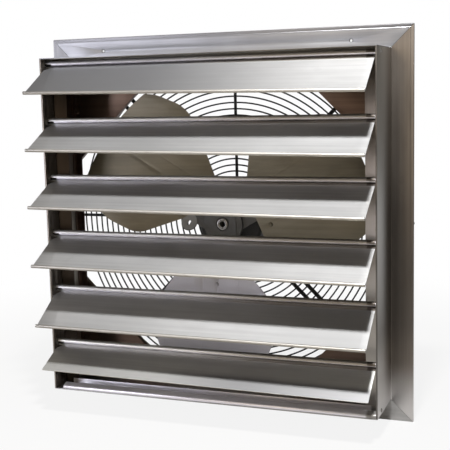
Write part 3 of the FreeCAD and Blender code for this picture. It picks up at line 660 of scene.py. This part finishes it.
# Painted shade and brown reflection: the fan blades and their rivets are a dark olive-brown copy of the
# sheet.
BLADE_LOOK = sheet_metal("blade_sheet", (0.25, 0.225, 0.17), (0.175, 0.155, 0.115), roughness=0.5)
# Painted light: the blades turn a lighter lavender grey towards the bottom.
toned(BLADE_LOOK, lit_low_blade, (0.60, 0.59, 0.64))
RIVET_LOOK = plain_look("rivet_aluminium", (0.42, 0.41, 0.40), (0.26, 0.25, 0.24), 0.9, 0.4)
STEEL_LOOK = plain_look("bright_steel", (0.72, 0.71, 0.70), (0.5, 0.5, 0.5), 1.0, 0.28)
ROD_LOOK = plain_look("rod_steel", (0.76, 0.75, 0.80), (0.58, 0.57, 0.62), 1.0, 0.32)
# Painted shadow on the rod's left end.
toned(ROD_LOOK, shaded_rod_end, (0.03, 0.028, 0.026))
BOSS_LOOK = plain_look("boss_steel", (0.50, 0.49, 0.47), (0.38, 0.37, 0.36), 0.8, 0.38)
# Painted shade: a dark ring in the groove round the boss.
toned(BOSS_LOOK, shaded_boss_groove, (0.05, 0.05, 0.048))
# Painted shade: the bore of the boss is near black.
toned(BOSS_LOOK, shaded_bore, (0.006, 0.006, 0.006))
DARK_STEEL_LOOK = plain_look("dark_steel", (0.12, 0.12, 0.12), (0.06, 0.06, 0.06), 0.8, 0.4)
CORE_LOOK = plain_look("core_steel", (0.4, 0.4, 0.41), (0.25, 0.25, 0.26), 0.9, 0.45)
GUARD_LOOK = plain_look("guard_paint", (0.025, 0.025, 0.026), (0.014, 0.014, 0.014), 0.0, 0.42)
SPIDER_LOOK = plain_look("spider_paint", (0.10, 0.098, 0.092), (0.065, 0.063, 0.058), 0.0, 0.5)
toned(SPIDER_LOOK, ears, (0.30, 0.30, 0.285))
# Dark paint, darkened further to near black as painted shade, since the motor sits in the shade behind the
# fan.
MOTOR_LOOK = plain_look("motor_paint", (0.014, 0.013, 0.012), (0.008, 0.008, 0.007), 0.0, 0.5)
NYLON_LOOK = plain_look("grey_nylon", (0.16, 0.155, 0.145), (0.11, 0.107, 0.10), 0.0, 0.5)
PLASTIC_LOOK = plain_look("gland_plastic", (0.03, 0.03, 0.03), (0.018, 0.018, 0.018), 0.0, 0.5)


# Louvres: a sheet rolled over its rod at the top, with a bead rolled along the bottom.

def louvre(name, chord, beaded):
    """A louvre hanging straight down from its pivot, cut across so that it can be twisted."""
    shoulder = -BARREL_MIDDLE - LOUVRE_SHEET / 2
    section = arc((0, 0), BARREL_MIDDLE, CURL_END, 0, 16) + [(BARREL_MIDDLE, shoulder)]
    if beaded:
        bead = (EDGE_ROLL - LOUVRE_SHEET) / 2
        section += arc((BARREL_MIDDLE - bead, EDGE_ROLL / 2 - chord), bead, 0, BEAD_END, 14)
    else:
        section.append((BARREL_MIDDLE, -chord))
    piece = strip(name, section, -LOUVRE_HALF, LOUVRE_HALF)
    corner = (-LOUVRE_HALF, 0, shoulder - CORNER_CUT)
    cut(piece, lambda middle: middle.z < shoulder, corner, (-1, 0, 1))
    places = [LOUVRE_HALF * (2 * span / LOUVRE_SPANS - 1) for span in range(1, LOUVRE_SPANS)]
    for place in places + [LOUVRE_HALF - BARREL_END]:
        bpy.ops.mesh.select_all(action="SELECT")
        bpy.ops.mesh.bisect(plane_co=(place, 0, 0), plane_no=(1, 0, 0))
    thicken(piece, LOUVRE_SKIN)
    soften(piece, 0.3 * MM)
    # Painted shade, kept per face: the undersides, the lower side of the bead and the right end of the
    # barrel are marked to be darkened in the louvre looks.
    mark = piece.data.attributes.new(SHADED_UNDERSIDE, "FLOAT", "FACE")
    for face, value in zip(piece.data.polygons, mark.data):
        if beaded and face.center.z < EDGE_ROLL - chord:
            value.value = max(BEAD_SHADE, face.normal.dot(BEAD_WAY))
        elif face.center.z > shoulder and face.center.x > LOUVRE_HALF - BARREL_END:
            value.value = BARREL_END_SHADE
        else:
            value.value = float(face.normal.dot(UNDER_WAY) > UNDER_LIMIT)
    return piece


def louvres():
    """Five long louvres and a short one, each twisted a little and hung open on its pivot."""
    long = louvre("louvre_1", CHORD, True)
    rows = [long] + [copy_of(long, f"louvre_{row}") for row in range(2, 6)]
    rows.append(louvre("louvre_6", LAST_CHORD, False))
    for row, piece in enumerate(rows):
        twist = math.radians(TWISTS[row])
        modify(piece, "SIMPLE_DEFORM", deform_method="TWIST", deform_axis="X", angle=twist)
        settle(piece, -OPEN_ANGLES[row], "X", (0, PIVOT_DEPTH, PIVOT_HEIGHTS[row]))
        last = row == len(rows) - 1
        if last:
            modify(piece, "WEIGHTED_NORMAL", keep_sharp=True)
        dress(piece, LAST_LOUVRE_LOOK if last else LOUVRE_LOOK, f"louvre_{row + 1}")


louvres()


# Housing: each side is one sheet, folded into a wall and a mitred flange with a hemmed edge.

def on_wall(middle):
    return middle.y <= -WALL_FOLD


def on_flange(middle):
    return middle.y > -WALL_FOLD


def housing_side(name, wall_half, turn, holes, material):
    """One side, folded as the top one and then turned about the fan axis to its place."""
    middle = CASE_SHEET / 2
    wall = CASE_HALF - middle
    step = FLANGE_RIM - HEM_WIDTH
    edge = FLANGE_RIM - middle
    fold_line = (middle, wall)
    section = [
        (CASE_FRONT, wall), fold_line, (middle, step - HEM_SLOPE),
        (middle + HEM_STEP, step + HEM_SLOPE), (middle + HEM_STEP, edge),
    ]
    section += arc((CASE_SHEET + HEM_STEP, edge), middle, 180, 0, 6)[1:]
    section.append((2 * CASE_SHEET - middle + HEM_STEP, step + HEM_CLEAR))
    piece = strip(name, section, -FLANGE_RIM, FLANGE_RIM)
    fold(piece, fold_line, WALL_FOLD)
    near = CASE_HALF - RELIEF
    far = CASE_HALF + RELIEF
    for side in (-1, 1):
        cut(piece, on_flange, (side * (far - MITRE_GAP / 2), 0, far), (side, 0, -1))
        cut(piece, on_flange, (side * near, 0, CASE_HALF), (side * (far - CASE_HALF), 0, near - far))
        cut(piece, on_wall, (side * wall_half, 0, wall), (side, 0, 0))
    thicken(piece, CASE_SHEET)
    if holes:
        for side in (-1, 1):
            deselect()
            bpy.ops.mesh.primitive_cylinder_add(
                radius=FIXING_BORE / 2, depth=20 * MM, location=(side * FIXING[0], 0, FIXING[1]),
                rotation=(math.pi / 2, 0, 0),
            )
            drill = bpy.context.object
            modify(piece, "BOOLEAN", operation="DIFFERENCE", object=drill, solver="EXACT")
            bpy.data.objects.remove(drill)
    soften(piece, 0.25 * MM)
    settle(piece, turn, "Y")
    return dress(piece, material, name)


housing_side("housing_top", CASE_HALF, 0, True, CASE_LOOK)
housing_side("housing_bottom", CASE_HALF, 180, True, BOTTOM_LOOK)
housing_side("housing_right", CASE_HALF - CASE_SHEET, 90, False, RIGHT_LOOK)
housing_side("housing_left", CASE_HALF - CASE_SHEET, -90, False, LEFT_LOOK)


def cross_rail(name, nosed):
    """The header under the top wall or, with a nose and turned over, the sill on the bottom wall."""
    middle = RAIL_SHEET / 2
    inside = CASE_HALF - CASE_SHEET
    front = (CASE_FRONT + middle, inside - middle)
    back = (RAIL_BACK - middle, inside - middle)
    section = [front, back, (back[0], inside - RAIL_UPSTAND)]
    if nosed:
        bend = (front[0], inside - SILL_FRONT + middle)
        crest = (CASE_FRONT + SILL_SLOPE, inside - SILL_LIP + middle)
        section = [(crest[0] + middle, crest[1] + SILL_TURN_DOWN), crest, bend] + section
    piece = strip(name, section, RAIL_LEFT, RAIL_RIGHT)
    fold(piece, back, RAIL_FOLD)
    if nosed:
        fold(piece, front, RAIL_FOLD)
        fold(piece, bend, NOSE_FOLD)
        fold(piece, crest, CREST_FOLD)
    thicken(piece, RAIL_SHEET)
    soften(piece, 0.25 * MM)
    if nosed:
        edit(piece)
        bpy.ops.mesh.select_all(action="SELECT")
        bpy.ops.transform.mirror(
            constraint_axis=(False, False, True), orient_type="GLOBAL", center_override=(0, 0, 0),
        )
        bpy.ops.mesh.normals_make_consistent(inside=False)
        done()
    return dress(piece, RAIL_LOOK if nosed else HEADER_LOOK, name)


cross_rail("shutter_header", False)
cross_rail("shutter_sill", True)


# Wire guard

def guard_rings():
    """All the rings in one mesh, each a small circle spun round the fan axis."""
    deselect()
    bpy.ops.mesh.primitive_circle_add(vertices=WIRE_SIDES, radius=RING_WIRE / 2)
    guard = bpy.context.object
    guard.name = "guard_rings"
    guard.data.name = "guard_rings"
    bpy.ops.object.mode_set(mode="EDIT")
    bpy.ops.mesh.select_all(action="SELECT")
    bpy.ops.mesh.delete(type="VERT")
    pitch = (RING_OUTER - RING_INNER) / (RING_COUNT - 1)
    for ring in range(RING_COUNT):
        place = (RING_OUTER - ring * pitch, RING_DEPTH, 0)
        bpy.ops.mesh.select_all(action="DESELECT")
        bpy.ops.mesh.primitive_circle_add(vertices=WIRE_SIDES, radius=RING_WIRE / 2, location=place)
        bpy.ops.mesh.spin(steps=RING_STEPS, angle=2 * math.pi, center=(0, 0, 0), axis=(0, 1, 0))
    bpy.ops.mesh.select_all(action="SELECT")
    bpy.ops.mesh.remove_doubles(threshold=0.05 * MM)
    bpy.ops.mesh.normals_make_consistent(inside=False)
    done()
    only(guard)
    bpy.ops.object.shade_smooth()
    return dress(guard, GUARD_LOOK, "guard_rings")


guard_rings()


# The other pieces that show start from their solids and get rounded edges.

def rounded(node, width, material, segments=2, degrees=30):
    """The solid's own form with its edges rounded."""
    piece = traced(node, node)
    soften(piece, width, segments, degrees)
    return dress(piece, material, node)


for side in ("top", "bottom", "left", "right"):
    rounded(f"rear_angle_{side}", 0.3 * MM, GUSSET_LOOK)
for corner in ("top_right", "top_left", "bottom_left", "bottom_right"):
    rounded(f"corner_gusset_{corner}", 0.4 * MM, GUSSET_LOOK)
    rounded(f"motor_struts_{corner}", 0.4 * MM, GUARD_LOOK)
rounded("shutter_jamb_left", 0.3 * MM, LEFT_JAMB_LOOK)
rounded("shutter_jamb_right", 0.3 * MM, RIGHT_JAMB_LOOK)
for blade in (1, 2, 3):
    rounded(f"fan_blade_{blade}", 0.4 * MM, BLADE_LOOK, degrees=40)
rounded("fan_spider", 1.2 * MM, SPIDER_LOOK, 3, 40)
rounded("hub_boss", 0.8 * MM, BOSS_LOOK)
rounded("fan_shaft", 0.6 * MM, BOSS_LOOK)
rounded("guard_spokes", 0.4 * MM, GUARD_LOOK)
rounded("blade_rivets", 0.5 * MM, BLADE_LOOK)
rounded("shutter_rivets", 0.5 * MM, RIVET_LOOK)
rounded("gusset_rivets", 0.5 * MM, GUSSET_LOOK)
rounded("pivot_bushes", 0.3 * MM, NYLON_LOOK)
rounded("motor_front_bell", 0.8 * MM, MOTOR_LOOK)
rounded("motor_rear_bell", 0.8 * MM, MOTOR_LOOK)
rounded("motor_shell", 0.5 * MM, MOTOR_LOOK)
rounded("motor_band", 0.6 * MM, GUARD_LOOK)
rounded("cable_gland", 0.8 * MM, PLASTIC_LOOK)

# Rods, bearings and what the motor hides keep their solids' form.

LOOK_OF_SLOT = {"bright_steel": STEEL_LOOK, "dark_steel": DARK_STEEL_LOOK, "core_steel": CORE_LOOK}
for name, solid in frame["nodes"].items():
    look = LOOK_OF_SLOT.get(SLOT_OF[name])
    if name.startswith("louvre_rod"):
        look = ROD_LOOK
    if look:
        solid.data.materials.clear()
        solid.data.materials.append(look)


# Camera

def aim_camera():
    """The camera of the photograph: its yaw, its look down, its small roll and its place."""
    yaw, pitch, roll = (math.radians(angle) for angle in CAMERA_TURN)
    forward = Vector((-math.sin(yaw) * math.cos(pitch), math.cos(yaw) * math.cos(pitch), -math.sin(pitch)))
    level = Vector((math.cos(yaw), math.sin(yaw), 0))
    down = forward.cross(level)
    right = math.cos(roll) * level + math.sin(roll) * down
    low = math.cos(roll) * down - math.sin(roll) * level
    turn = Matrix((right, -low, -forward)).transposed().to_4x4()
    data = bpy.data.cameras.new("camera")
    data.lens = CAMERA_LENS
    data.sensor_width = CAMERA_SENSOR
    data.clip_start = 0.05
    camera = bpy.data.objects.new("camera", data)
    camera.matrix_world = Matrix.Translation(CAMERA_PLACE) @ turn
    bpy.context.scene.collection.objects.link(camera)
    bpy.context.scene.camera = camera


aim_camera()


# Floor, backdrop and lamps

def shown_white(tree, backdrop):
    """How far a ray sees the white: everywhere from the camera, only at the backdrop in reflections."""
    path = add(tree, "ShaderNodeLightPath")
    mirrored = calculate(tree, "MAXIMUM", path.outputs["Is Glossy Ray"], path.outputs["Is Transmission Ray"])
    return calculate(tree, "MAXIMUM", path.outputs["Is Camera Ray"], overlap(tree, mirrored, backdrop))


def lay_floor():
    """A pale floor that keeps the shadow near the object and runs into the white behind it."""
    deselect()
    bpy.ops.mesh.primitive_plane_add(size=12, location=(0, 0, CAD_BOX[0][2]))
    floor = bpy.context.object
    floor.name = "floor"
    bpy.ops.object.transform_apply(location=True, rotation=True, scale=True)
    look = bpy.data.materials.new("floor")
    look.use_nodes = True
    tree = look.node_tree
    tree.nodes.clear()
    output = add(tree, "ShaderNodeOutputMaterial")
    pale = add(tree, "ShaderNodeBsdfDiffuse")
    pale.inputs["Color"].default_value = (0.4, 0.39, 0.38, 1)
    glow = add(tree, "ShaderNodeEmission")
    glow.inputs["Strength"].default_value = 1
    coordinates = add(tree, "ShaderNodeTexCoord")
    split = add(tree, "ShaderNodeSeparateXYZ")
    tree.links.new(coordinates.outputs["Object"], split.inputs["Vector"])
    away = add(tree, "ShaderNodeVectorMath", operation="LENGTH")
    tree.links.new(coordinates.outputs["Object"], away.inputs[0])
    white = shown_white(tree, ranged(tree, split.outputs["Y"], 0.3, 0.9))
    share = overlap(tree, white, ranged(tree, away.outputs["Value"], 0.55, 1.6, 0.88, 1.0))
    shade = add(tree, "ShaderNodeMixShader")
    tree.links.new(share, shade.inputs[0])
    tree.links.new(pale.outputs["BSDF"], shade.inputs[1])
    tree.links.new(glow.outputs["Emission"], shade.inputs[2])
    tree.links.new(shade.outputs["Shader"], output.inputs["Surface"])
    floor.data.materials.append(look)


def light_world():
    """A dim warm room, with the white backdrop where the camera looks."""
    world = bpy.data.worlds.new("studio")
    bpy.context.scene.world = world
    world.use_nodes = True
    tree = world.node_tree
    tree.nodes.clear()
    output = add(tree, "ShaderNodeOutputWorld")
    white = add(tree, "ShaderNodeBackground")
    white.inputs["Color"].default_value = (1, 1, 1, 1)
    room = add(tree, "ShaderNodeBackground")
    room.inputs["Color"].default_value = (0.13, 0.118, 0.1, 1)
    coordinates = add(tree, "ShaderNodeTexCoord")
    facing = add(tree, "ShaderNodeVectorMath", operation="DOT_PRODUCT")
    tree.links.new(coordinates.outputs["Generated"], facing.inputs[0])
    facing.inputs[1].default_value = BACKDROP_WAY
    shade = add(tree, "ShaderNodeMixShader")
    tree.links.new(shown_white(tree, ranged(tree, facing.outputs["Value"], 0.93, 0.98)), shade.inputs[0])
    tree.links.new(room.outputs["Background"], shade.inputs[1])
    tree.links.new(white.outputs["Background"], shade.inputs[2])
    tree.links.new(shade.outputs["Shader"], output.inputs["Surface"])


def softbox(name, place, target, width, height, power, colour=(1, 1, 1)):
    data = bpy.data.lights.new(name, "AREA")
    data.shape = "RECTANGLE"
    data.size = width
    data.size_y = height
    data.energy = power
    data.color = colour
    lamp = bpy.data.objects.new(name, data)
    way = Vector(target) - Vector(place)
    lamp.matrix_world = Matrix.Translation(place) @ way.to_track_quat("-Z", "Y").to_matrix().to_4x4()
    bpy.context.scene.collection.objects.link(lamp)


lay_floor()
light_world()
softbox("key", (0.4, -1.07, 1.8), (0.1, -0.15, -0.05), 0.18, 0.16, 86)
softbox("side", (-1.8, -1.9, 0.1), (-0.2, -0.1, 0), 0.7, 2.0, 32, (0.9, 0.9, 1.0))
softbox("warm", (-0.25, -2.4, 0.1), (0.1, -0.1, 0), 0.8, 2.4, 10, (1.0, 0.83, 0.62))
bpy.context.scene.view_settings.view_transform = "Standard"
